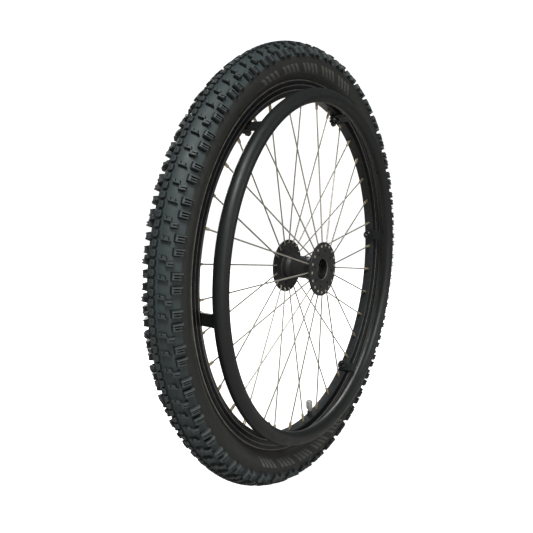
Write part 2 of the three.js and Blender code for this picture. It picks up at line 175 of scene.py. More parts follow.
CENTRE_BLOCK = {
    "length": 7.0, "width": 5.8, "draft": 0.7, "lean": 0.0, "pinch": 0.1, "tilt": 0.0,
    "fin": 0.0, "fin_end": 1,
    "grooves": ((-0.9, 0.9, -0.5, 0.5, 0.3),),
}

# The outer rows on each side: turn from the middle of a pair, angle from the crown, and the block.
SHOULDER_ROW = (
    (-PAIR_HALF, 61.5, SHOULDER_BLOCK),
    (PAIR_HALF, 61.5, SHOULDER_BLOCK),
    (REPEAT_STEP / 2, 43, BETWEEN_BLOCK),
)
MIDDLE_ROW = (
    (-1.06, 26, MIDDLE_BLOCK),
    (2.69, 26, MIDDLE_BLOCK),
)

# ---- Sidewall bars ----

BAR_GROUPS = (99, 268)  # angle around the wheel of the middle of each group
BARS = 25
BAR_GROUP = 5  # every fifth bar is left out
BAR_STEP = 2.1
BAR_LENGTH = 1.3  # degrees around the wheel
BAR_SLANT = 2.8
BAR_REACH = (99, 127)  # degrees from the crown
LINE_REACH = (130, 131.2)
PRINT_LEVELS = (0.16, -0.2)  # top and underside of the print, from the sidewall's surface


# ---- Meshes ----


class Shape:
    """Points and faces gathered for one piece."""

    def __init__(self):
        self.points = []
        self.faces = []
        self.count = 0
        self.hollows = []

    def add(self, points, faces, hollow=False):
        """Adds a closed surface. A hollow lies inside another one, and faces inwards."""
        points = np.asarray(points, float).reshape(-1, 3)
        self.points.append(points)
        if hollow:
            self.hollows += range(len(self.faces), len(self.faces) + len(faces))
        for face in faces:
            self.faces.append([corner + self.count for corner in face])
        self.count += len(points)

    def mesh(self, name, sharp=38):
        data = bpy.data.meshes.new(name)
        data.from_pydata((np.concatenate(self.points) * MM).tolist(), [], self.faces)
        work = bmesh.new()
        work.from_mesh(data)
        bmesh.ops.recalc_face_normals(work, faces=work.faces)
        work.faces.ensure_lookup_table()
        for index in self.hollows:
            work.faces[index].normal_flip()
        work.to_mesh(data)
        work.free()
        smooth(data, sharp)
        return data


def smooth(data, sharp):
    data.shade_smooth()
    data.set_sharp_from_angle(angle=math.radians(sharp))


def grid_faces(rows, columns, wrap_rows=False, wrap_columns=False):
    """Quads over a grid of points that are listed row by row."""
    faces = []
    for row in range(rows if wrap_rows else rows - 1):
        ahead = (row + 1) % rows
        for column in range(columns if wrap_columns else columns - 1):
            beside = (column + 1) % columns
            faces.append((
                row * columns + column,
                row * columns + beside,
                ahead * columns + beside,
                ahead * columns + column,
            ))
    return faces


def rounded(outline, radii, steps=4, closed=True):
    """An outline with each corner rounded by about its own radius."""
    outline = np.asarray(outline, float)
    radii = np.broadcast_to(radii, len(outline))
    made = []
    for index, (corner, radius) in enumerate(zip(outline, radii)):
        at_end = not closed and index in (0, len(outline) - 1)
        if radius <= 0 or at_end:
            made.append(corner)
            continue
        before = outline[index - 1] - corner
        after = outline[(index + 1) % len(outline)] - corner
        lengths = np.linalg.norm(before), np.linalg.norm(after)
        before, after = before / lengths[0], after / lengths[1]
        half = math.acos(np.clip(before @ after, -1, 1)) / 2
        reach = min(radius / math.tan(half), 0.48 * min(lengths))
        for share in np.linspace(0, 1, steps + 1):
            start = corner + before * reach
            end = corner + after * reach
            made.append((1 - share) ** 2 * start + 2 * share * (1 - share) * corner + share**2 * end)
    return np.array(made)


def ring(shape, outline, steps=STEPS, hollow=False):
    """A closed outline of [radius, y] turned around the axle."""
    outline = np.asarray(outline, float)
    turn = np.radians(np.arange(steps) * 360 / steps)[:, None]
    radius = outline[None, :, 0]
    height = np.broadcast_to(outline[None, :, 1], (steps, len(outline)))
    points = np.stack([radius * np.cos(turn), height, radius * np.sin(turn)], -1)
    shape.add(points, grid_faces(steps, len(outline), True, True), hollow)


def both_sides(half):
    """One side of an outline of [radius, y] and its mirror image."""
    half = np.asarray(half, float)
    return np.concatenate([half, (half * [1, -1])[::-1]])


def tube_faces(rows, sides):
    """The faces of rows of points around a bar, with an end face at each end."""
    last = (rows - 1) * sides
    ends = [tuple(range(sides)), tuple(range(last, last + sides))]
    return grid_faces(rows, sides, False, True) + ends


def spaced(count, start=0):
    """Angles evenly spaced around the wheel."""
    return [start + index * 360 / count for index in range(count)]


def axes_at(angle):
    """The directions outwards and onwards around the wheel at an angle."""
    turn = math.radians(angle)
    outwards = np.array([math.cos(turn), 0, math.sin(turn)])
    onwards = np.array([-math.sin(turn), 0, math.cos(turn)])
    return outwards, onwards


def turned(shape, origin, axis, across, profile, sides=24, corners=0, flats=0.0, closed=False):
    """A turned piece from [distance along the axis, radius] points.
    With corners, its radius stops at flats, the distance from the axis to each flat."""
    axis, across = np.asarray(axis, float), np.asarray(across, float)
    third = np.cross(axis, across)
    profile = np.asarray(profile, float)
    turn = np.arange(sides) * 2 * math.pi / sides
    limit = np.full(sides, 1e9)
    if corners:
        wedge = 2 * math.pi / corners
        limit = flats / np.cos((turn + wedge / 2) % wedge - wedge / 2)
    rows = []
    for distance, radius in profile:
        reach = np.minimum(radius, limit)[:, None]
        spin = reach * (np.cos(turn)[:, None] * across + np.sin(turn)[:, None] * third)
        rows.append(np.asarray(origin) + distance * axis + spin)
    if closed:
        faces = grid_faces(len(rows), sides, True, True)
    else:
        faces = tube_faces(len(rows), sides)
    shape.add(np.array(rows), faces)


def radial(shape, angle, profile, sides=24, y=0.0, **settings):
    """A piece turned around a line along the wheel's radius."""
    outwards, onwards = axes_at(angle)
    turned(shape, (0, y, 0), outwards, onwards, profile, sides, **settings)


def swept(shape, path, radii, across, sides=12):
    """A round bar along a path that lies in the plane square to across."""
    path = np.asarray(path, float)
    radii = np.broadcast_to(radii, len(path))
    ahead = np.gradient(path, axis=0)
    ahead /= np.linalg.norm(ahead, axis=1)[:, None]
    normal = np.cross(ahead, across)
    turn = np.arange(sides) * 2 * math.pi / sides
    rows = []
    for point, radius, up in zip(path, radii, normal):
        spin = np.cos(turn)[:, None] * up + np.sin(turn)[:, None] * np.asarray(across)
        rows.append(point + radius * spin)
    shape.add(np.array(rows), tube_faces(len(rows), sides))


def placed(name, data):
    """A new object in the scene."""
    made = bpy.data.objects.new(name, data)
    bpy.context.scene.collection.objects.link(made)
    return made


def piece(name, data, finish, body="wheel", nodes=()):
    """Puts a mesh in the scene as a piece that rides on a body and stands for CAD nodes."""
    made = placed(name, data)
    data.materials.clear()
    data.materials.append(finish)
    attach(made, body)
    if nodes:
        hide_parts(*nodes)
    return made


def cut(data, cutters, sharp=38):
    """The mesh with the cutters' holes in it."""
    body = placed("cut_body", data)
    tool = placed("cut_tool", cutters.mesh("cut_tool"))
    modifier = body.modifiers.new("holes", "BOOLEAN")
    modifier.operation = "DIFFERENCE"
    modifier.solver = "MANIFOLD"
    modifier.object = tool
    evaluated = body.evaluated_get(bpy.context.evaluated_depsgraph_get())
    made = bpy.data.meshes.new_from_object(evaluated)
    made.name = data.name + "_cut"
    for each in (body, tool):
        bpy.data.objects.remove(each)
    smooth(made, sharp)
    return made


# ---- Materials ----


class Finish:
    """A node material with short calls for the nodes that this script uses."""

    def __init__(self, name, roughness=0.5, metallic=0.0, specular=0.5):
        self.material = bpy.data.materials.new(name)
        self.material.use_nodes = True
        self.nodes = self.material.node_tree.nodes
        self.links = self.material.node_tree.links
        self.shader = self.nodes["Principled BSDF"]
        self.set("Roughness", roughness)
        self.set("Metallic", metallic)
        self.set("Specular IOR Level", specular)
        self.place = self.nodes.new("ShaderNodeTexCoord").outputs["Object"]

    def set(self, socket, value):
        self.shader.inputs[socket].default_value = value

    def wire(self, source, socket):
        self.links.new(source, self.shader.inputs[socket])

    def stretched(self, scale):
        """The object's coordinates, scaled by a different amount along each axis."""
        mapping = self.nodes.new("ShaderNodeMapping")
        mapping.inputs["Scale"].default_value = scale
        self.links.new(self.place, mapping.inputs["Vector"])
        return mapping.outputs["Vector"]

    def noise(self, scale, detail=4.0, roughness=0.55, place=None):
        noise = self.nodes.new("ShaderNodeTexNoise")
        noise.inputs["Scale"].default_value = scale
        noise.inputs["Detail"].default_value = detail
        noise.inputs["Roughness"].default_value = roughness
        self.links.new(place or self.place, noise.inputs["Vector"])
        return noise.outputs["Fac"]

    def maths(self, operation, first, second=None):
        node = self.nodes.new("ShaderNodeMath")
        node.operation = operation
        for socket, value in zip(node.inputs, (first, second)):
            if value is None:
                continue
            if isinstance(value, (int, float)):
                socket.default_value = value
            else:
                self.links.new(value, socket)
        return node.outputs["Value"]

    def spread(self, source, low, high, to_low=0.0, to_high=1.0, soft=False):
        """A value mapped from one range to another."""
        node = self.nodes.new("ShaderNodeMapRange")
        if soft:
            node.interpolation_type = "SMOOTHSTEP"
        for socket, value in zip(("From Min", "From Max", "To Min", "To Max"), (low, high, to_low, to_high)):
            node.inputs[socket].default_value = value
        self.links.new(source, node.inputs["Value"])
        return node.outputs["Result"]

    def blend(self, share, first, second):
        """A colour between two colours or sockets."""
        node = self.nodes.new("ShaderNodeMix")
        node.data_type = "RGBA"
        self.links.new(share, node.inputs["Factor"])
        for socket, value in zip((node.inputs[6], node.inputs[7]), (first, second)):
            if isinstance(value, tuple):
                socket.default_value = (*value, 1)
            else:
                self.links.new(value, socket)
        return node.outputs[2]

    def diagonal(self, *sides):
        """The longest side of a right-angled triangle with these two sides."""
        squares = [self.maths("POWER", self.maths("ABSOLUTE", side), 2.0) for side in sides]
        return self.maths("SQRT", self.maths("ADD", *squares))

    def radius(self):
        """Distance from the axle, in metres."""
        split = self.nodes.new("ShaderNodeSeparateXYZ")
        self.links.new(self.place, split.inputs["Vector"])
        return self.diagonal(split.outputs["X"], split.outputs["Z"])

    def section_radius(self):
        """Distance from the circle at the middle of the tyre's section, in metres."""
        split = self.nodes.new("ShaderNodeSeparateXYZ")
        self.links.new(self.place, split.inputs["Vector"])
        return self.diagonal(self.maths("SUBTRACT", self.radius(), TUBE_CENTRE * MM), split.outputs["Y"])

    def bump(self, height, strength, distance):
        node = self.nodes.new("ShaderNodeBump")
        node.inputs["Strength"].default_value = strength
        node.inputs["Distance"].default_value = distance * MM
        self.links.new(height, node.inputs["Height"])
        self.wire(node.outputs["Normal"], "Normal")


def tyre_finish():
    """Bluish tread rubber that turns to browner rubber down the sidewall, dull, with fine mould texture. The
    sidewall carries painted shading: paler near the bead, darker towards the shoulder.
    """
    made = Finish("tyre_rubber", 0.62, specular=0.4)
    grain = made.noise(90, 6, 0.6)
    tread = made.blend(grain, (0.016, 0.0232, 0.024), (0.027, 0.038, 0.0395))
    side_painted_light = made.blend(grain, (0.017, 0.017, 0.015), (0.025, 0.025, 0.0225))
    side_painted_shade = made.blend(grain, (0.006, 0.006, 0.005), (0.010, 0.010, 0.0085))
    # painted shading: the sidewall goes from a painted light colour near the bead to a painted shade colour
    # towards the shoulder
    side = made.blend(made.spread(made.radius(), 0.2690, 0.2830, soft=True), side_painted_light, side_painted_shade)
    share = made.spread(made.radius(), 0.2872, 0.2894, soft=True)
    made.wire(made.blend(share, side, tread), "Base Color")
    made.wire(made.spread(made.noise(45, 5), 0.3, 0.7, 0.52, 0.72), "Roughness")
    made.bump(made.noise(900, 3), 0.25, 0.15)
    return made.material


def block_finish():
    """The same rubber on the tread blocks: scuffed paler on top, and painted shade that makes them dark down
    their walls.
    """
    made = Finish("block_rubber", 0.6, specular=0.4)
    grain = made.noise(90, 6, 0.6)
    height = made.section_radius()
    top = made.blend(grain, (0.021, 0.0275, 0.028), (0.034, 0.0435, 0.0445))
    scuffed = made.blend(made.noise(400, 4), (0.036, 0.041, 0.041), (0.054, 0.060, 0.059))
    # painted shade: near black low down the blocks' walls, rising to the top colour near their tops
    colour = made.blend(made.spread(height, 0.0238, 0.0262, soft=True), (0.003, 0.004, 0.004), top)
    colour = made.blend(made.spread(height, 0.0254, 0.0276, 0.0, 0.4, soft=True), colour, scuffed)
    made.wire(colour, "Base Color")
    made.wire(made.spread(made.noise(45, 5), 0.3, 0.7, 0.52, 0.70), "Roughness")
    made.bump(made.noise(900, 3), 0.25, 0.15)
    return made.material


def print_finish():
    """Grey print on the sidewall, thin and a little worn."""
    made = Finish("sidewall_print", 0.55, specular=0.35)
    worn = made.spread(made.noise(260, 5, 0.65), 0.35, 0.62)
    made.wire(made.blend(worn, (0.048, 0.048, 0.043), (0.085, 0.085, 0.078)), "Base Color")
    made.bump(made.noise(700, 3), 0.2, 0.1)
    return made.material


def plain_rubber_finish(name, dark, light, roughness, scale):
    """Moulded rubber with a soft mottling."""
    made = Finish(name, roughness, specular=0.4)
    made.wire(made.blend(made.noise(scale, 5), dark, light), "Base Color")
    made.wire(made.spread(made.noise(scale * 2, 3), 0.3, 0.7, roughness - 0.1, roughness + 0.1), "Roughness")
    made.bump(made.noise(scale * 12, 3), 0.2, 0.1)
    return made.material


def tape_finish():
    """Woven cotton rim tape."""
    made = Finish("tape_cloth", 0.9, specular=0.2)
    threads = made.nodes.new("ShaderNodeTexWave")
    threads.inputs["Scale"].default_value = 160
    threads.inputs["Distortion"].default_value = 1.5
    made.links.new(made.place, threads.inputs["Vector"])
    made.wire(made.blend(threads.outputs["Fac"], (0.32, 0.22, 0.08), (0.48, 0.36, 0.17)), "Base Color")
    made.bump(threads.outputs["Fac"], 0.5, 0.2)
    return made.material


def black_metal_finish(name, dark, light, roughness, turning, painted_bands=(), specular=0.5):
    """Black anodised or coated aluminium, with faint turning marks. Each band runs around the axle as
    painted
    highlight or painted shade: its radius and half-width in metres, and its painted colour."""
    made = Finish(name, roughness, specular=specular)
    colour = made.blend(made.noise(30, 5), dark, light)
    for radius, half_width, painted_colour in painted_bands:
        away = made.maths("ABSOLUTE", made.maths("SUBTRACT", made.radius(), radius))
        painted_share = made.spread(away, half_width * 0.6, half_width, 1.0, 0.0, soft=True)
        painted_share = made.maths("MULTIPLY", painted_share, made.spread(made.noise(120, 4), 0.3, 0.6, 0.6, 1.0))
        # blends in the band's painted highlight or painted shade
        colour = made.blend(painted_share, colour, painted_colour)
    made.wire(colour, "Base Color")
    marks = made.noise(turning, 2, 0.5, made.stretched((1, 6, 1)))
    made.wire(made.spread(marks, 0.3, 0.7, roughness - 0.06, roughness + 0.08), "Roughness")
    made.bump(made.noise(turning * 4, 4), 0.08, 0.08)
    return made.material


def steel_finish(name, dark, light, roughness, metallic=1.0, stretch=(1, 1, 1)):
    """Bare or tarnished metal with drawing or grinding marks."""
    made = Finish(name, roughness, metallic=metallic)
    made.wire(made.blend(made.noise(60, 5, 0.6, made.stretched(stretch)), dark, light), "Base Color")
    made.wire(made.spread(made.noise(140, 4), 0.3, 0.7, roughness - 0.07, roughness + 0.1), "Roughness")
    made.bump(made.noise(800, 3, 0.5, made.stretched(stretch)), 0.1, 0.05)
    return made.material


def cap_finish():
    """Smoky grey moulded plastic."""
    made = Finish("cap_plastic", 0.28, specular=0.5)
    made.wire(made.blend(made.noise(200, 3), (0.20, 0.20, 0.19), (0.34, 0.34, 0.32)), "Base Color")
    made.wire(made.spread(made.noise(300, 3), 0.3, 0.7, 0.22, 0.36), "Roughness")
    return made.material


TYRE = tyre_finish()
BLOCKS = block_finish()
PRINT = print_finish()
BUTYL = plain_rubber_finish("tube_rubber", (0.012, 0.012, 0.013), (0.022, 0.022, 0.024), 0.5, 40)
SEAL = plain_rubber_finish("seal_rubber", (0.002, 0.002, 0.002), (0.004, 0.004, 0.004), 0.7, 120)
JACKET = plain_rubber_finish("valve_rubber", (0.008, 0.008, 0.009), (0.018, 0.018, 0.020), 0.55, 160)
TAPE = tape_finish()
# Painted highlight lines around the rim at these radii. The pale band on the lip is partly worn bare metal
# and partly painted highlight.
RIM_PAINTED_HIGHLIGHTS = (
    (0.2396, 0.0012, (0.022, 0.023, 0.024)),
    (0.2592, 0.0009, (0.15, 0.143, 0.125)),
    (0.2528, 0.0006, (0.085, 0.084, 0.080)),
    (0.2466, 0.0007, (0.13, 0.128, 0.12)),
)
RIM = black_metal_finish(
    "rim_black", (0.003, 0.003, 0.0035), (0.005, 0.005, 0.0058), 0.32, 200, RIM_PAINTED_HIGHLIGHTS, specular=0.2)
HANDRIM = black_metal_finish(
    "handrim_black", (0.007, 0.0079, 0.0078), (0.010, 0.0112, 0.0110), 0.45, 60, specular=0.27)
# Painted shade darkens the bore's wall, and a thin painted highlight ring lies just outside the bore.
HUB_PAINTED_SHADE_AND_HIGHLIGHT = ((0.0144, 0.0009, (0.003, 0.003, 0.003)), (0.0153, 0.0004, (0.10, 0.095, 0.08)))
HUB = black_metal_finish(
    "hub_black", (0.013, 0.013, 0.013), (0.018, 0.018, 0.018), 0.5, 60, HUB_PAINTED_SHADE_AND_HIGHLIGHT, specular=0.3)
ZINC = steel_finish("bolt_black", (0.030, 0.030, 0.033), (0.070, 0.070, 0.075), 0.38)
SPOKE = steel_finish("spoke_steel", (0.24, 0.225, 0.19), (0.38, 0.36, 0.31), 0.45, 0.65)
NIPPLE = steel_finish("nipple_brass", (0.29, 0.24, 0.15), (0.42, 0.35, 0.24), 0.4, 0.6)
RACE = steel_finish("bearing_steel", (0.22, 0.22, 0.22), (0.34, 0.34, 0.34), 0.3)
BRASS = steel_finish("valve_brass", (0.55, 0.50, 0.40), (0.72, 0.68, 0.58), 0.28)
CAP = cap_finish()


# ---- Tyre ----


def eased(value, low, high):
    """0 below low, 1 above high, and a smooth rise between them."""
    share = np.clip((value - low) / (high - low), 0, 1)
    return share * share * (3 - 2 * share)


def casing_radius(polar):
    """How far the casing is from the middle of the tyre's section, at an angle from the crown."""
    polar = np.abs(np.asarray(polar, float))
    sidewall = CASING_BULGE * (eased(polar, 62, 98) - 0.6 * eased(polar, 105, 150))
    band = CROWN_BAND_RISE * np.clip((CROWN_BAND_HALF - polar) / 1.5, 0, 1)
    ribs = sum(0.3 * np.exp(-(((polar - at) / 0.9) ** 2)) for at in SIDEWALL_RIBS)
    return CASING_LEVEL + sidewall + band + ribs


def on_casing(turn, polar, lift):
    """A point this far above the casing. Positive polar angles lie outboard of the crown."""
    from_centre = casing_radius(polar) + lift
    radius = TUBE_CENTRE + from_centre * np.cos(np.radians(polar))
    turn = np.radians(turn)
    return np.stack([
        radius * np.cos(turn),
        -from_centre * np.sin(np.radians(polar)),
        radius * np.sin(turn),
    ], -1)


def arc_of(from_centre, polar):
    """Points as [radius, y] around the middle of the tyre's section."""
    return np.stack([
        TUBE_CENTRE + from_centre * np.cos(np.radians(polar)),
        from_centre * np.sin(np.radians(polar)),
    ], -1)


def casing():
    """The tyre without its blocks: ribs near the bead are drawn finely, the plain sidewall coarsely."""
    polar = np.concatenate([
        np.arange(-150, -133, 1.0),
        np.arange(-133, -14, 4),
        [-14, -12, -10.5, -7, -3.5, 0],
    ])
    polar = np.concatenate([polar, -polar[-2::-1]])
    outside = arc_of(casing_radius(polar), polar)
    bead_corners = [[260.2, BEAD_HALF], [BEAD_SEAT, BEAD_HALF], [BEAD_SEAT, 5.8], [262.0, 6.4]]
    bead = rounded(bead_corners, [0.6, 1.2, 1.0, 2.0], 2)
    inside = arc_of(CASING_INSIDE, np.arange(150, -151, -12))
    shape = Shape()
    ring(shape, np.concatenate([outside, bead, inside, (bead * [1, -1])[::-1]]), FINE_STEPS)
    piece("tyre_casing", shape.mesh("tyre_casing"), TYRE, nodes=["tyre"])


def tread_level(polar):
    """Height of the tread's surface above the casing. It runs down into the sidewall past the shoulder."""
    shoulder = eased(np.abs(polar), 74, 96)
    level = TREAD_LEVEL + SHOULDER_RISE * eased(np.abs(polar), 24, 58) - casing_radius(polar)
    return level * (1 - shoulder) + 0.35 * shoulder


def steps_across(half, edges, draft):
    """Grid lines over a block: its foot, its bevelled edge, and both sides of each groove."""
    lines = [-half - draft, -half, EDGE_BEVEL - half, half - EDGE_BEVEL, half, half + draft]
    for edge in edges:
        if abs(edge) < half - EDGE_BEVEL:
            lines += [edge - GROOVE_WALL, edge + GROOVE_WALL]
    return np.array(sorted(lines))


def tread_block(shape, turn, polar, block):
    """One tread block. turn is its angle around the wheel, polar its angle from the crown."""
    side = 1 if polar >= 0 else -1
    half_length, half_width = block["length"] / 2, block["width"] / 2
    grooves = block["grooves"]
    around = steps_across(half_length, [edge for groove in grooves for edge in groove[:2]], block["draft"])
    across = steps_across(half_width, [edge for groove in grooves for edge in groove[2:4]], block["draft"])
    u, v = np.meshgrid(around, across, indexing="ij")
    from_edge = np.minimum(half_length - np.abs(u), half_width - np.abs(v))
    level = np.where(from_edge < -0.01, FOOT_LEVEL, np.where(from_edge < 0.01, RIM_LEVEL, 1.0))
    for low_u, high_u, low_v, high_v, depth in grooves:
        inside = (u > low_u) & (u < high_u) & (v > low_v) & (v < high_v) & (from_edge > -0.01)
        level = np.where(inside, level - depth, level)
    level = level * (1 + block["tilt"] * np.clip(v / half_width, -1, 1))
    corner = np.clip(block["fin_end"] * u / half_length, 0, 1.2)
    drawn = np.clip(v / half_width, 0, 1.2) ** 2 * corner ** 2
    lean = block["lean"] * v / half_width
    bent_u = u * (1 - block["pinch"] * (v / half_width) ** 2) + lean
    bent_v = v * (1 - block["pinch"] * (u / half_length) ** 2) + block["fin"] * drawn
    polar_here = side * (abs(polar) + np.degrees(bent_v / RING_MM))
    middle_radius = TUBE_CENTRE + RING_MM * math.cos(math.radians(polar))
    turn_here = turn + np.degrees(bent_u / middle_radius)
    points = on_casing(turn_here, polar_here, level * tread_level(polar_here))
    rows, columns = u.shape
    faces = grid_faces(rows, columns)
    faces.append(tuple(reversed(border_of(rows, columns))))
    shape.add(points, faces)


def border_of(rows, columns):
    """The point numbers around the edge of a grid."""
    border = list(range(columns))
    border += [row * columns + columns - 1 for row in range(1, rows)]
    border += [(rows - 1) * columns + column for column in range(columns - 2, -1, -1)]
    border += [row * columns for row in range(rows - 2, 0, -1)]
    return border


def tread_row(side, row):
    """A row's blocks on one side of the crown, all around the tyre."""
    shape = Shape()
    for pair in spaced(REPEATS, PAIR_START):
        for offset, polar, block in row:
            tread_block(shape, pair + offset, side * polar, block)
    return shape


def centre_row():
    shape = Shape()
    for turn in spaced(CENTRE_BLOCKS, PAIR_START):
        tread_block(shape, turn, 0.0, CENTRE_BLOCK)
    return shape


def sidewall_bars():
    """Slanted bars printed on the outboard sidewall, in two groups, over a thin line."""
    shape = Shape()
    for middle in BAR_GROUPS:
        for index in range(BARS):
            if index % BAR_GROUP == BAR_GROUP - 1:
                continue
            turn = middle + (index - (BARS - 1) / 2) * BAR_STEP
            slanted_patch(shape, turn, BAR_REACH, BAR_LENGTH, BAR_SLANT)
        slanted_patch(shape, middle, LINE_REACH, BARS * BAR_STEP, 0.0)
    return shape


def slanted_patch(shape, turn, reach, degrees, slant):
    """A thin patch on the outboard sidewall, degrees long, that leans by slant degrees."""
    columns = max(3, int(degrees))
    share = np.linspace(0, 1, 6)
    polar = np.linspace(*reach, 6)
    around = np.linspace(-0.5, 0.5, columns) * degrees
    layers = []
    for level in PRINT_LEVELS:
        here = turn + around[None, :] + slant * (0.5 - share[:, None])
        layer = on_casing(here, np.broadcast_to(polar[:, None], here.shape), level)
        layers.append(layer.reshape(-1, 3))
    rows = len(polar)
    count = rows * columns
    faces = grid_faces(rows, columns)
    under = [tuple(corner + count for corner in reversed(face)) for face in faces]
    border = border_of(rows, columns)
    walls = []
    for index, here in enumerate(border):
        ahead = border[(index + 1) % len(border)]
        walls.append((here, ahead, ahead + count, here + count))
    shape.add(np.concatenate(layers), faces + under + walls)


def tyre():
    casing()
    for side, name in ((1, "outboard"), (-1, "inboard")):
        for row, part in ((SHOULDER_ROW, "shoulder"), (MIDDLE_ROW, "middle")):
            label = f"tread_{part}_{name}"
            piece(label, tread_row(side, row).mesh(label, CRISP), BLOCKS)
    piece("tread_centre", centre_row().mesh("tread_centre", 30), BLOCKS)
    piece("sidewall_bars", sidewall_bars().mesh("sidewall_bars", 30), PRINT)


def valve_hole(high):
    """A cutter for the hole that the valve passes through, from under the rim's well up to high."""
    hole = Shape()
    radial(hole, VALVE_ANGLE, [[RIM_WELL - 2.5, TUBE_VALVE_HOLE], [high, TUBE_VALVE_HOLE]], 32)
    return hole


def inner_tube():
    base = [[262.6, 7.6], [256.6, 4.0], [256.4, -4.0], [262.6, -7.6]]
    skin = np.concatenate([arc_of(TUBE_SKIN, np.arange(-138, 139, 6)), base])
    middle = np.array([TUBE_CENTRE, 0])
    air = middle + (skin - middle) * TUBE_AIR
    shape = Shape()
    ring(shape, skin)
    ring(shape, air, hollow=True)
    data = cut(shape.mesh("inner_tube_skin"), valve_hole(263))
    piece("inner_tube_skin", data, BUTYL, nodes=["inner_tube"])


def rim_tape():
    shape = Shape()
    ring(shape, rounded(both_sides([[TAPE_INSIDE, -TAPE_HALF], [TAPE_OUTSIDE, -TAPE_HALF]]), 0.3))
    data = cut(shape.mesh("rim_tape_band"), valve_hole(254))
    piece("rim_tape_band", data, TAPE, nodes=["rim_tape"])


# ---- Rim ----


def rim():
    half = [
        [RIM_WELL, -5.6],
        [RIM_SEAT, -7.0],
        [RIM_SEAT, -RIM_HOOK_HALF],
        [RIM_LIP, -RIM_HOOK_HALF],
        [RIM_LIP, -RIM_HALF],
        [256.0, -RIM_HALF],
        [254.8, -11.1],
        [RIM_SHOULDER + 1.6, -11.0],
        [RIM_SHOULDER, -10.7],
        [RIM_INNER, -RIM_BASE_HALF],
    ]
    radii = [1.5, 0.8, 0.4, 0.7, 0.7, 0.5, 0.5, 0.5, 0.7, 1.8]
    shape = Shape()
    ring(shape, rounded(both_sides(half), radii + radii[::-1]))
    ring(shape, rounded(both_sides([[CHAMBER_FLOOR, -6], [CHAMBER_ROOF, -8.8]]), 1.0), hollow=True)
    data = shape.mesh("rim_body")

    holes = Shape()
    middle = (CHAMBER_FLOOR + CHAMBER_ROOF) / 2
    below, above = RIM_INNER - 3, RIM_WELL + 3
    radial(holes, VALVE_ANGLE, [[below, RIM_VALVE_HOLE], [above, RIM_VALVE_HOLE]], 32)
    for angle in spaced(SPOKES, SPOKE_START):
        radial(holes, angle, [[below, 2.5], [middle, 2.5], [middle, 3.6], [above, 3.6]], 20)
    for angle in spaced(BRACKETS, BRACKET_START):
        radial(holes, angle, [[below, 2.9], [middle, 2.9], [middle, 5.2], [above, 5.2]], 24)
    piece("rim_body", cut(data, holes), RIM, nodes=["rim"])


# ---- Handrim ----


def bracket_outline():
    """The bracket's flat arm as [around, y]: a round end over the bolt, and a flare at the handrim."""
    half = BRACKET_WIDTH / 2
    root = HANDRIM_PLANE + 3.5
    points = []
    for turn in np.radians(np.arange(0, 181, 12)):
        points.append([half * math.cos(turn), half * math.sin(turn)])
    for share in np.linspace(0, 1, 7):
        points.append([-half - 5.5 * share**2, root + 13 - 13 * share])
    for share in np.linspace(1, 0, 7):
        points.append([half + 5.5 * share**2, root + 13 - 13 * share])
    return np.array(points)


def plate(shape, angle, outline, low, high, bevel):
    """A flat plate with bevelled edges, square to the wheel's radius. outline is [around, y]."""
    outwards, onwards = axes_at(angle)
    middle = outline.mean(axis=0)
    ahead = np.roll(outline, -1, axis=0) - np.roll(outline, 1, axis=0)
    normal = np.stack([ahead[:, 1], -ahead[:, 0]], -1)
    normal /= np.linalg.norm(normal, axis=1)[:, None]
    if ((outline - middle) * normal).sum() < 0:
        normal = -normal
    rows = []
    for level, inset in ((low, bevel), (low + bevel, 0), (high - bevel, 0), (high, bevel)):
        around, y = (outline - normal * inset).T
        rows.append(level * outwards + around[:, None] * onwards + y[:, None] * np.array([0, 1, 0]))
    shape.add(np.array(rows), tube_faces(len(rows), len(outline)))


def weld(shape, angle, radius, half_length):
    """A weld bead along the handrim where a bracket meets it."""
    outwards, onwards = axes_at(angle)
    share = np.linspace(-1, 1, 40)
    path = []
    for place in share:
        turn = angle + math.degrees(place * half_length / HANDRIM_RADIUS)
        here, _ = axes_at(turn)
        path.append(here * radius + np.array([0, HANDRIM_PLANE + 8.9, 0]))
    radii = 1.5 * np.sqrt(1.02 - share**2) + 0.22 * np.sin(share * 42)
    swept(shape, path, np.maximum(radii, 0.15), (0, 1, 0), 12)


def handrim():
    shape = Shape()
    turn = np.radians(np.arange(0, 360, 7.5))
    for radius, hollow in ((HANDRIM_TUBE, False), (HANDRIM_TUBE - HANDRIM_WALL, True)):
        section = [HANDRIM_RADIUS + radius * np.cos(turn), HANDRIM_PLANE + radius * np.sin(turn)]
        ring(shape, np.stack(section, -1), hollow=hollow)
    data = shape.mesh("handrim_tube")
    hole = Shape()
    radial(hole, DRAIN_ANGLE, [[HANDRIM_RADIUS - 14, 1.5], [HANDRIM_RADIUS, 1.5]], 16, y=HANDRIM_PLANE)
    piece("handrim_tube", cut(data, hole), HANDRIM, nodes=["handrim"])

    bevel = 0.7
    for number, angle in enumerate(spaced(BRACKETS, BRACKET_START), 1):
        name = f"handrim_bracket_{number}"
        arm = Shape()
        plate(arm, angle, bracket_outline(), BRACKET_TOP - BRACKET_THICKNESS, BRACKET_TOP, bevel)
        radial(arm, angle, [
            [BOSS_END, BOSS_RADIUS - bevel],
            [BOSS_END + bevel, BOSS_RADIUS],
            [BRACKET_TOP - 3, BOSS_RADIUS],
        ], 36)
        weld(arm, angle, BRACKET_TOP, 11.5)
        weld(arm, angle, BRACKET_TOP - BRACKET_THICKNESS, 11.5)
        piece(name, arm.mesh(name), HANDRIM)
        handrim_bolt(number, angle)


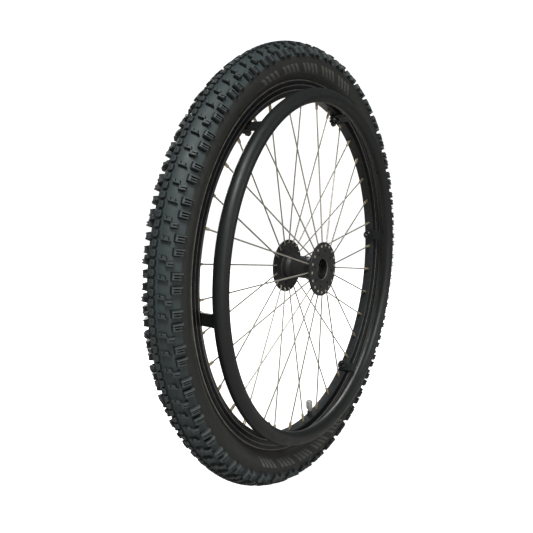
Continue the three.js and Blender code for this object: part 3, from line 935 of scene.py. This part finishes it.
def handrim_bolt(number, angle):
    """A screw whose head lies in the rim, with its threads, washer and nut on the bracket's boss."""
    shape = Shape()
    seat = CHAMBER_FLOOR + 0.2
    nut_top = BOSS_END - 0.3
    tip = nut_top - 6.2
    pitch = 0.8
    profile = [[tip, BOLT_RADIUS - 0.7], [tip + 0.6, BOLT_RADIUS - 0.1]]
    for turn in np.arange(tip + 0.8, nut_top - 4.4, pitch):
        profile += [[turn, BOLT_RADIUS - 0.35], [turn + pitch / 2, BOLT_RADIUS]]
    profile += [[nut_top, BOLT_RADIUS], [seat, BOLT_RADIUS], [seat, 4.4], [seat + 2.2, 4.4], [seat + 3, 3.4]]
    radial(shape, angle, profile, 24)
    nut_foot = nut_top - 4.0
    radial(shape, angle, [
        [nut_foot - 0.2, 3.9],
        [nut_foot + 0.5, 4.75],
        [nut_top - 1.3, 4.75],
        [nut_top - 0.8, 4.2],
    ], 48, corners=6, flats=4.0)
    radial(shape, angle, [
        [nut_top - 0.8, 5.0],
        [nut_top - 0.6, 5.2],
        [nut_top - 0.2, 5.2],
        [nut_top, 5.0],
    ], 36)
    name = f"handrim_screw_{number}"
    piece(name, shape.mesh(name, 25), ZINC, nodes=[f"handrim_bolt_{number}"])


# ---- Hub ----


def hub_shell():
    shape = Shape()
    seat = BEARING_RADIUS + 0.36
    outboard_inner = OUTBOARD_FACE + FLANGE_THICKNESS
    inboard_inner = INBOARD_FACE - FLANGE_THICKNESS
    bore = 11.5
    inboard_stop = HUB_END - 0.56 - BEARING_WIDTH - 0.3
    outboard_stop = OUTBOARD_FACE + 11.5 + BEARING_WIDTH + 0.3
    outline = [
        ([seat + 1.9, OUTBOARD_FACE], 0.2),
        ([HOUSING_RADIUS - 0.9, OUTBOARD_FACE], 0.2),
        ([HOUSING_RADIUS - 0.6, OUTBOARD_FACE + 0.35], 0.1),
        ([HOUSING_RADIUS, OUTBOARD_FACE + 0.35], 0.1),
        ([HOUSING_RADIUS + 0.3, OUTBOARD_FACE], 0.2),
        ([FLANGE_RADIUS, OUTBOARD_FACE], 0.6),
        ([FLANGE_RADIUS, outboard_inner], 0.6),
        ([HOUSING_RADIUS + 4.5, outboard_inner], 0.8),
        ([HOUSING_RADIUS, outboard_inner + 1.5], 2.5),
        ([HOUSING_RADIUS, -19], 1.5),
        ([BARREL_RADIUS, -12], 3.0),
        ([BARREL_RADIUS, 12], 3.0),
        ([HOUSING_RADIUS, 17], 1.0),
        ([HOUSING_RADIUS, inboard_inner - 1.5], 0.8),
        ([HOUSING_RADIUS + 1.5, inboard_inner], 0.5),
        ([FLANGE_RADIUS, inboard_inner], 0.6),
        ([FLANGE_RADIUS, INBOARD_FACE], 0.6),
        ([HOUSING_RADIUS, INBOARD_FACE], 0.5),
        ([HOUSING_RADIUS, HUB_END], 0.5),
        ([seat, HUB_END], 0.3),
        ([seat, inboard_stop], 0.2),
        ([bore, inboard_stop], 0.2),
        ([bore, outboard_stop], 0.2),
        ([seat, outboard_stop], 0.2),
        ([seat, OUTBOARD_FACE + 2.2], 0.3),
    ]
    ring(shape, rounded([point for point, _ in outline], [radius for _, radius in outline]), 180)
    data = shape.mesh("hub_body")
    holes = Shape()
    for low, high, first in (
        (OUTBOARD_FACE - 1, outboard_inner + 1, SPOKE_START),
        (inboard_inner - 1, INBOARD_FACE + 1, INBOARD_SPOKE_START),
    ):
        for angle in spaced(SPOKES // 2, first):
            axial_hole(holes, angle, SPOKE_CIRCLE, 1.4, low, high, 16)
        for angle in spaced(LIGHTENING_HOLES, LIGHTENING_START):
            axial_hole(holes, angle, LIGHTENING_CIRCLE, LIGHTENING_RADIUS, low, high, 28)
    piece("hub_body", cut(data, holes), HUB, nodes=["hub_shell"])


def axial_hole(shape, angle, circle, radius, low, high, sides):
    outwards, onwards = axes_at(angle)
    turned(shape, outwards * circle, (0, 1, 0), outwards, [[low, radius], [high, radius]], sides)


# ---- Spokes ----


def spoke_meshes(side):
    """The wire and the nipple of one spoke at angle 0.
    side is -1 for the outboard flange and 1 for the inboard."""
    outer = OUTBOARD_FACE if side < 0 else INBOARD_FACE
    inner = outer - side * FLANGE_THICKNESS
    seat = (RIM_INNER + CHAMBER_FLOOR) / 2
    elbow = [SPOKE_CIRCLE, inner - side * 1.6]
    line = np.array([seat - elbow[0], -elbow[1]])
    end = np.array(elbow) + line * 0.985
    route = rounded([[SPOKE_CIRCLE, outer + side * 0.5], elbow, end], 2.4, 8, closed=False)
    path = np.array([[x, y, 0] for x, y in route])
    name = "outboard" if side < 0 else "inboard"
    wire = Shape()
    swept(wire, path, SPOKE_RADIUS, (0, 0, 1), 12)
    turned(wire, (SPOKE_CIRCLE, outer, 0), (0, side, 0), (1, 0, 0), [
        [0.15, 1.2],
        [0.35, 1.9],
        [0.75, 2.0],
        [1.15, 1.6],
        [1.4, 0.8],
    ], 20)
    axis = [*line / np.linalg.norm(line), 0]
    foot = np.array([seat, 0, 0])
    reach = seat - NIPPLE_START
    nipple = Shape()
    turned(nipple, foot, axis, (0, 0, 1), [
        [-reach, 1.25],
        [-reach + 0.5, 1.75],
        [-reach + 1.0, NIPPLE_RADIUS],
        [-reach + 5.5, NIPPLE_RADIUS],
    ], 32, corners=4, flats=NIPPLE_FLATS)
    turned(nipple, foot, axis, (0, 0, 1), [
        [-reach + 5.2, 1.5],
        [-reach + 5.8, NIPPLE_RADIUS],
        [1.4, NIPPLE_RADIUS],
        [1.9, 2.9],
        [2.6, 2.9],
        [3.2, 2.0],
    ], 24)
    return wire.mesh(f"spoke_wire_{name}", 50), nipple.mesh(f"spoke_nipple_{name}", 30)


def spokes():
    meshes = spoke_meshes(-1), spoke_meshes(1)
    for index, angle in enumerate(spaced(SPOKES, SPOKE_START)):
        wire, nipple = meshes[index % 2]
        number = f"{index + 1:02d}"
        turn = Matrix.Rotation(-math.radians(angle), 4, "Y")
        for name, data, finish, nodes, slot in (
            (f"spoke_wire_{number}", wire, SPOKE, [f"spoke_{number}"], "spoke_steel"),
            (f"spoke_nipple_{number}", nipple, NIPPLE, [], "nipple_brass"),
        ):
            made = piece(name, data, finish, nodes=nodes)
            made.matrix_world = turn


# ---- Bearings ----


def bearing(name, side, outer_face):
    def part(ending, shape, node, finish=RACE, body="axle_side", slot="bearing_steel"):
        label = f"{name}_{ending}"
        piece(label, shape.mesh(label), finish, body, [f"{name}_bearing_{node}"])

    middle = outer_face - side * BEARING_WIDTH / 2
    half = BEARING_WIDTH / 2
    groove = [[half - 2.0 - 0.4 * (1 - share**2), share * 1.9] for share in np.linspace(-1, 1, 9)]
    depth = [point[0] - (half - 2.0) for point in groove]
    outer = Shape()
    notch = OUTER_SHOULDER + 0.4
    section = [[OUTER_SHOULDER, 1.2 - half], [notch, 1.2 - half], [notch, -half], [BEARING_RADIUS, -half]]
    section = both_sides(section).tolist()
    section += [[OUTER_SHOULDER - in_by * 1.6, y] for in_by, (_, y) in zip(depth[::-1], groove[::-1])]
    section = rounded(section, [0.1] * 3 + [0.5, 0.5] + [0.1] * 12, 2)
    ring(outer, section + [0, middle], SMALL_STEPS)
    part("outer_ring", outer, "outer_race", body="wheel")

    inner = Shape()
    section = [[AXLE_RADIUS, half], [AXLE_RADIUS, -half], [INNER_SHOULDER, -half], [INNER_SHOULDER, -2.1]]
    section += [[INNER_SHOULDER + in_by * 1.6, y] for in_by, (_, y) in zip(depth, groove)]
    section += [[INNER_SHOULDER, 2.1], [INNER_SHOULDER, half]]
    section = rounded(section, [0.5, 0.5, 0.3] + [0.1] * 11 + [0.3], 2)
    ring(inner, section + [0, middle], SMALL_STEPS)
    part("inner_ring", inner, "inner_race")

    balls = Shape()
    arc = np.radians(np.linspace(-84, 84, 15))
    profile = np.stack([BALL_RADIUS * np.sin(arc), BALL_RADIUS * np.cos(arc)], -1)
    for angle in spaced(BALLS):
        outwards, _ = axes_at(angle)
        turned(balls, outwards * BALL_CIRCLE + np.array([0, middle, 0]), (0, 1, 0), outwards, profile, 24)
    cage = rounded(both_sides([[9.7, -1.1], [10.9, -1.1]]), 0.3)
    ring(balls, cage + [0, middle], SMALL_STEPS)
    part("balls_in_cage", balls, "balls", body="bearing_balls")

    seal = Shape()
    face = middle + side * (half - 0.6)
    section = [[9.1, -0.25], [9.6, 0.1], [10.1, -0.1], [11.0, -0.1], [11.3, 0.2], [11.7, 0.0]]
    under = [[radius, y - 0.35] for radius, y in reversed(section)]
    ring(seal, rounded([[radius, face + side * y] for radius, y in section + under], 0.08, 2), SMALL_STEPS)
    part("seal", seal, "seal", SEAL, "wheel", "seal_rubber")


def bearing_spacer():
    shape = Shape()
    low, high = edge_of("bearing_spacer", 1, False), edge_of("bearing_spacer", 1)
    ring(shape, rounded([[6.5, low], [8.2, low], [8.2, high], [6.5, high]], 0.3), SMALL_STEPS)
    piece("axle_sleeve", shape.mesh("axle_sleeve"), RACE, "axle_side", ["bearing_spacer"])


# ---- Valve ----


def valve():
    stem = Shape()
    profile = [[VALVE_TIP + 1.5, 2.5], [VALVE_TIP + 1.9, 2.9]]
    for turn in np.arange(VALVE_TIP + 2.2, VALVE_TIP + 9.5, 0.8):
        profile += [[turn, 2.75], [turn + 0.4, 3.1]]
    profile += [[VALVE_TIP + 10.5, 2.6], [VALVE_TIP + 11, 3.05], [232, 3.05]]
    profile += [[232, 1.8], [VALVE_TIP + 1.5, 1.8]]
    radial(stem, VALVE_ANGLE, profile, 36, closed=True)
    piece("valve_tube", stem.mesh("valve_tube", 25), BRASS, nodes=["valve_stem"])

    jacket = Shape()
    profile = rounded([
        [230.5, 3.15],
        [232.5, 3.9],
        [262.5, 4.1],
        [264.2, 7.2],
        [265.4, 7.4],
        [265.6, 3.0],
        [265.6, 1.85],
        [230.5, 1.85],
    ], [0.3, 1.5, 1.5, 0.5, 0.4, 0.1, 0.1, 0.1])
    radial(jacket, VALVE_ANGLE, profile, 36, closed=True)
    piece("valve_jacket", jacket.mesh("valve_jacket"), JACKET)

    core = Shape()
    radial(core, VALVE_ANGLE, [
        [217.5, 0.5],
        [217.8, 0.8],
        [221.6, 0.8],
        [222, 1.3],
        [237.6, 1.3],
        [238, 1.0],
    ], 24)
    piece("valve_core_pin", core.mesh("valve_core_pin"), BRASS, nodes=["valve_core"])

    cap = Shape()
    radial(cap, VALVE_ANGLE, rounded([
        [227, 4.6],
        [VALVE_TIP + 2.0, 4.6],
        [VALVE_TIP, 4.2],
        [VALVE_TIP - 1.2, 3.2],
        [VALVE_TIP - 1.2, 0.05],
        [VALVE_TIP + 0.6, 0.05],
        [VALVE_TIP + 0.6, 3.6],
        [227, 3.6],
    ], [0.3, 0.5, 0.8, 0.8, 0, 0, 0.2, 0.2]), 48, closed=True)
    outwards, onwards = axes_at(VALVE_ANGLE)
    for turn in np.radians(spaced(CAP_RIBS)):
        beside = 4.55 * (math.cos(turn) * onwards + math.sin(turn) * np.array([0, 1, 0]))
        rib = [[VALVE_TIP + 0.6, 0.1], [VALVE_TIP + 1.2, 0.36], [226.2, 0.36], [226.8, 0.1]]
        turned(cap, beside, outwards, onwards, rib, 8)
    piece("valve_cap_ribbed", cap.mesh("valve_cap_ribbed"), CAP, "valve_cap", ["valve_cap"])


# ---- Floor, light and camera ----


def floor_finish():
    """A pale backdrop paper. The camera sees it brighter than the light it throws back up at the wheel."""
    made = Finish("pale_floor", 0.9, specular=0.0)
    made.wire(made.blend(made.noise(3, 3), (0.86, 0.86, 0.86), (0.90, 0.90, 0.90)), "Base Color")
    rays = made.nodes.new("ShaderNodeLightPath").outputs["Is Camera Ray"]
    glow = made.nodes.new("ShaderNodeEmission")
    glow.inputs["Strength"].default_value = 0.9
    lit = made.nodes.new("ShaderNodeAddShader")
    made.links.new(glow.outputs["Emission"], lit.inputs[0])
    made.links.new(made.shader.outputs["BSDF"], lit.inputs[1])
    dim = made.nodes.new("ShaderNodeBsdfDiffuse")
    dim.inputs["Color"].default_value = (0.45, 0.44, 0.42, 1)
    mix = made.nodes.new("ShaderNodeMixShader")
    made.links.new(rays, mix.inputs["Fac"])
    made.links.new(dim.outputs["BSDF"], mix.inputs[1])
    made.links.new(lit.outputs["Shader"], mix.inputs[2])
    made.links.new(mix.outputs["Shader"], made.nodes["Material Output"].inputs["Surface"])
    return made.material


def studio():
    shape = Shape()
    half = 12000.0
    level = -TYRE_RADIUS - 0.4
    corners = ((-half, -half), (half, -half), (half, half), (-half, half))
    shape.add([[x, y, level] for x, y in corners], [(0, 1, 2, 3)])
    floor = placed("studio_floor", shape.mesh("studio_floor"))
    floor.data.materials.append(floor_finish())

    world = bpy.data.worlds.new("studio_world")
    world.use_nodes = True
    nodes, links = world.node_tree.nodes, world.node_tree.links
    seen = nodes["Background"]
    seen.inputs["Color"].default_value = (1, 1, 1, 1)
    seen.inputs["Strength"].default_value = 1.15
    lit = nodes.new("ShaderNodeBackground")
    lit.inputs["Color"].default_value = (0.93, 0.97, 1.0, 1)
    lit.inputs["Strength"].default_value = 0.13
    rays = nodes.new("ShaderNodeLightPath")
    mix = nodes.new("ShaderNodeMixShader")
    links.new(rays.outputs["Is Camera Ray"], mix.inputs["Fac"])
    links.new(lit.outputs["Background"], mix.inputs[1])
    links.new(seen.outputs["Background"], mix.inputs[2])
    links.new(mix.outputs["Shader"], nodes["World Output"].inputs["Surface"])
    bpy.context.scene.world = world

    area_light("key_light", (-1.45, -0.9, 2.0), 0.9, 78, (0.98, 1.0, 1.0))
    area_light("fill_light", (-1.5, -2.0, 0.5), 1.8, 20, (1.0, 0.99, 0.97))
    area_light("front_light", (0.9, -2.3, 0.6), 1.2, 11, (1.0, 0.99, 0.97))
    area_light("back_light", (1.3, 2.2, 1.1), 1.6, 60, (1.0, 1.0, 0.99))


def area_light(name, place, size, watts, colour):
    data = bpy.data.lights.new(name, "AREA")
    data.shape = "DISK"
    data.size = size
    data.energy = watts
    data.color = colour
    light = placed(name, data)
    light.location = place
    light.rotation_mode = "QUATERNION"
    light.rotation_quaternion = (-Vector(place)).to_track_quat("-Z", "Y")


CAMERA_PLACE = (-0.72944, -0.41363, 0.09057)
CAMERA_BACK = Vector((-0.83238, -0.54343, 0.10878))
CAMERA_RIGHT = Vector((0.54937, -0.83494, 0.03260))
CAMERA_LENS = 39.08


def camera():
    data = bpy.data.cameras.new("photo_camera")
    data.sensor_width = 36
    data.lens = CAMERA_LENS
    data.clip_start = 0.01
    data.clip_end = 100
    made = placed("photo_camera", data)
    back = CAMERA_BACK.normalized()
    right = (CAMERA_RIGHT - back * CAMERA_RIGHT.dot(back)).normalized()
    up = back.cross(right)
    made.matrix_world = Matrix.Translation(CAMERA_PLACE) @ Matrix((right, up, back)).transposed().to_4x4()
    bpy.context.scene.camera = made


camera()
studio()
tyre()
inner_tube()
rim_tape()
rim()
handrim()
hub_shell()
spokes()
bearing("outboard", -1, edge_of("outboard_bearing_outer_race", 1, False))
bearing("inboard", 1, edge_of("inboard_bearing_outer_race", 1))
bearing_spacer()
valve()

bpy.context.scene.view_settings.view_transform = "Standard"
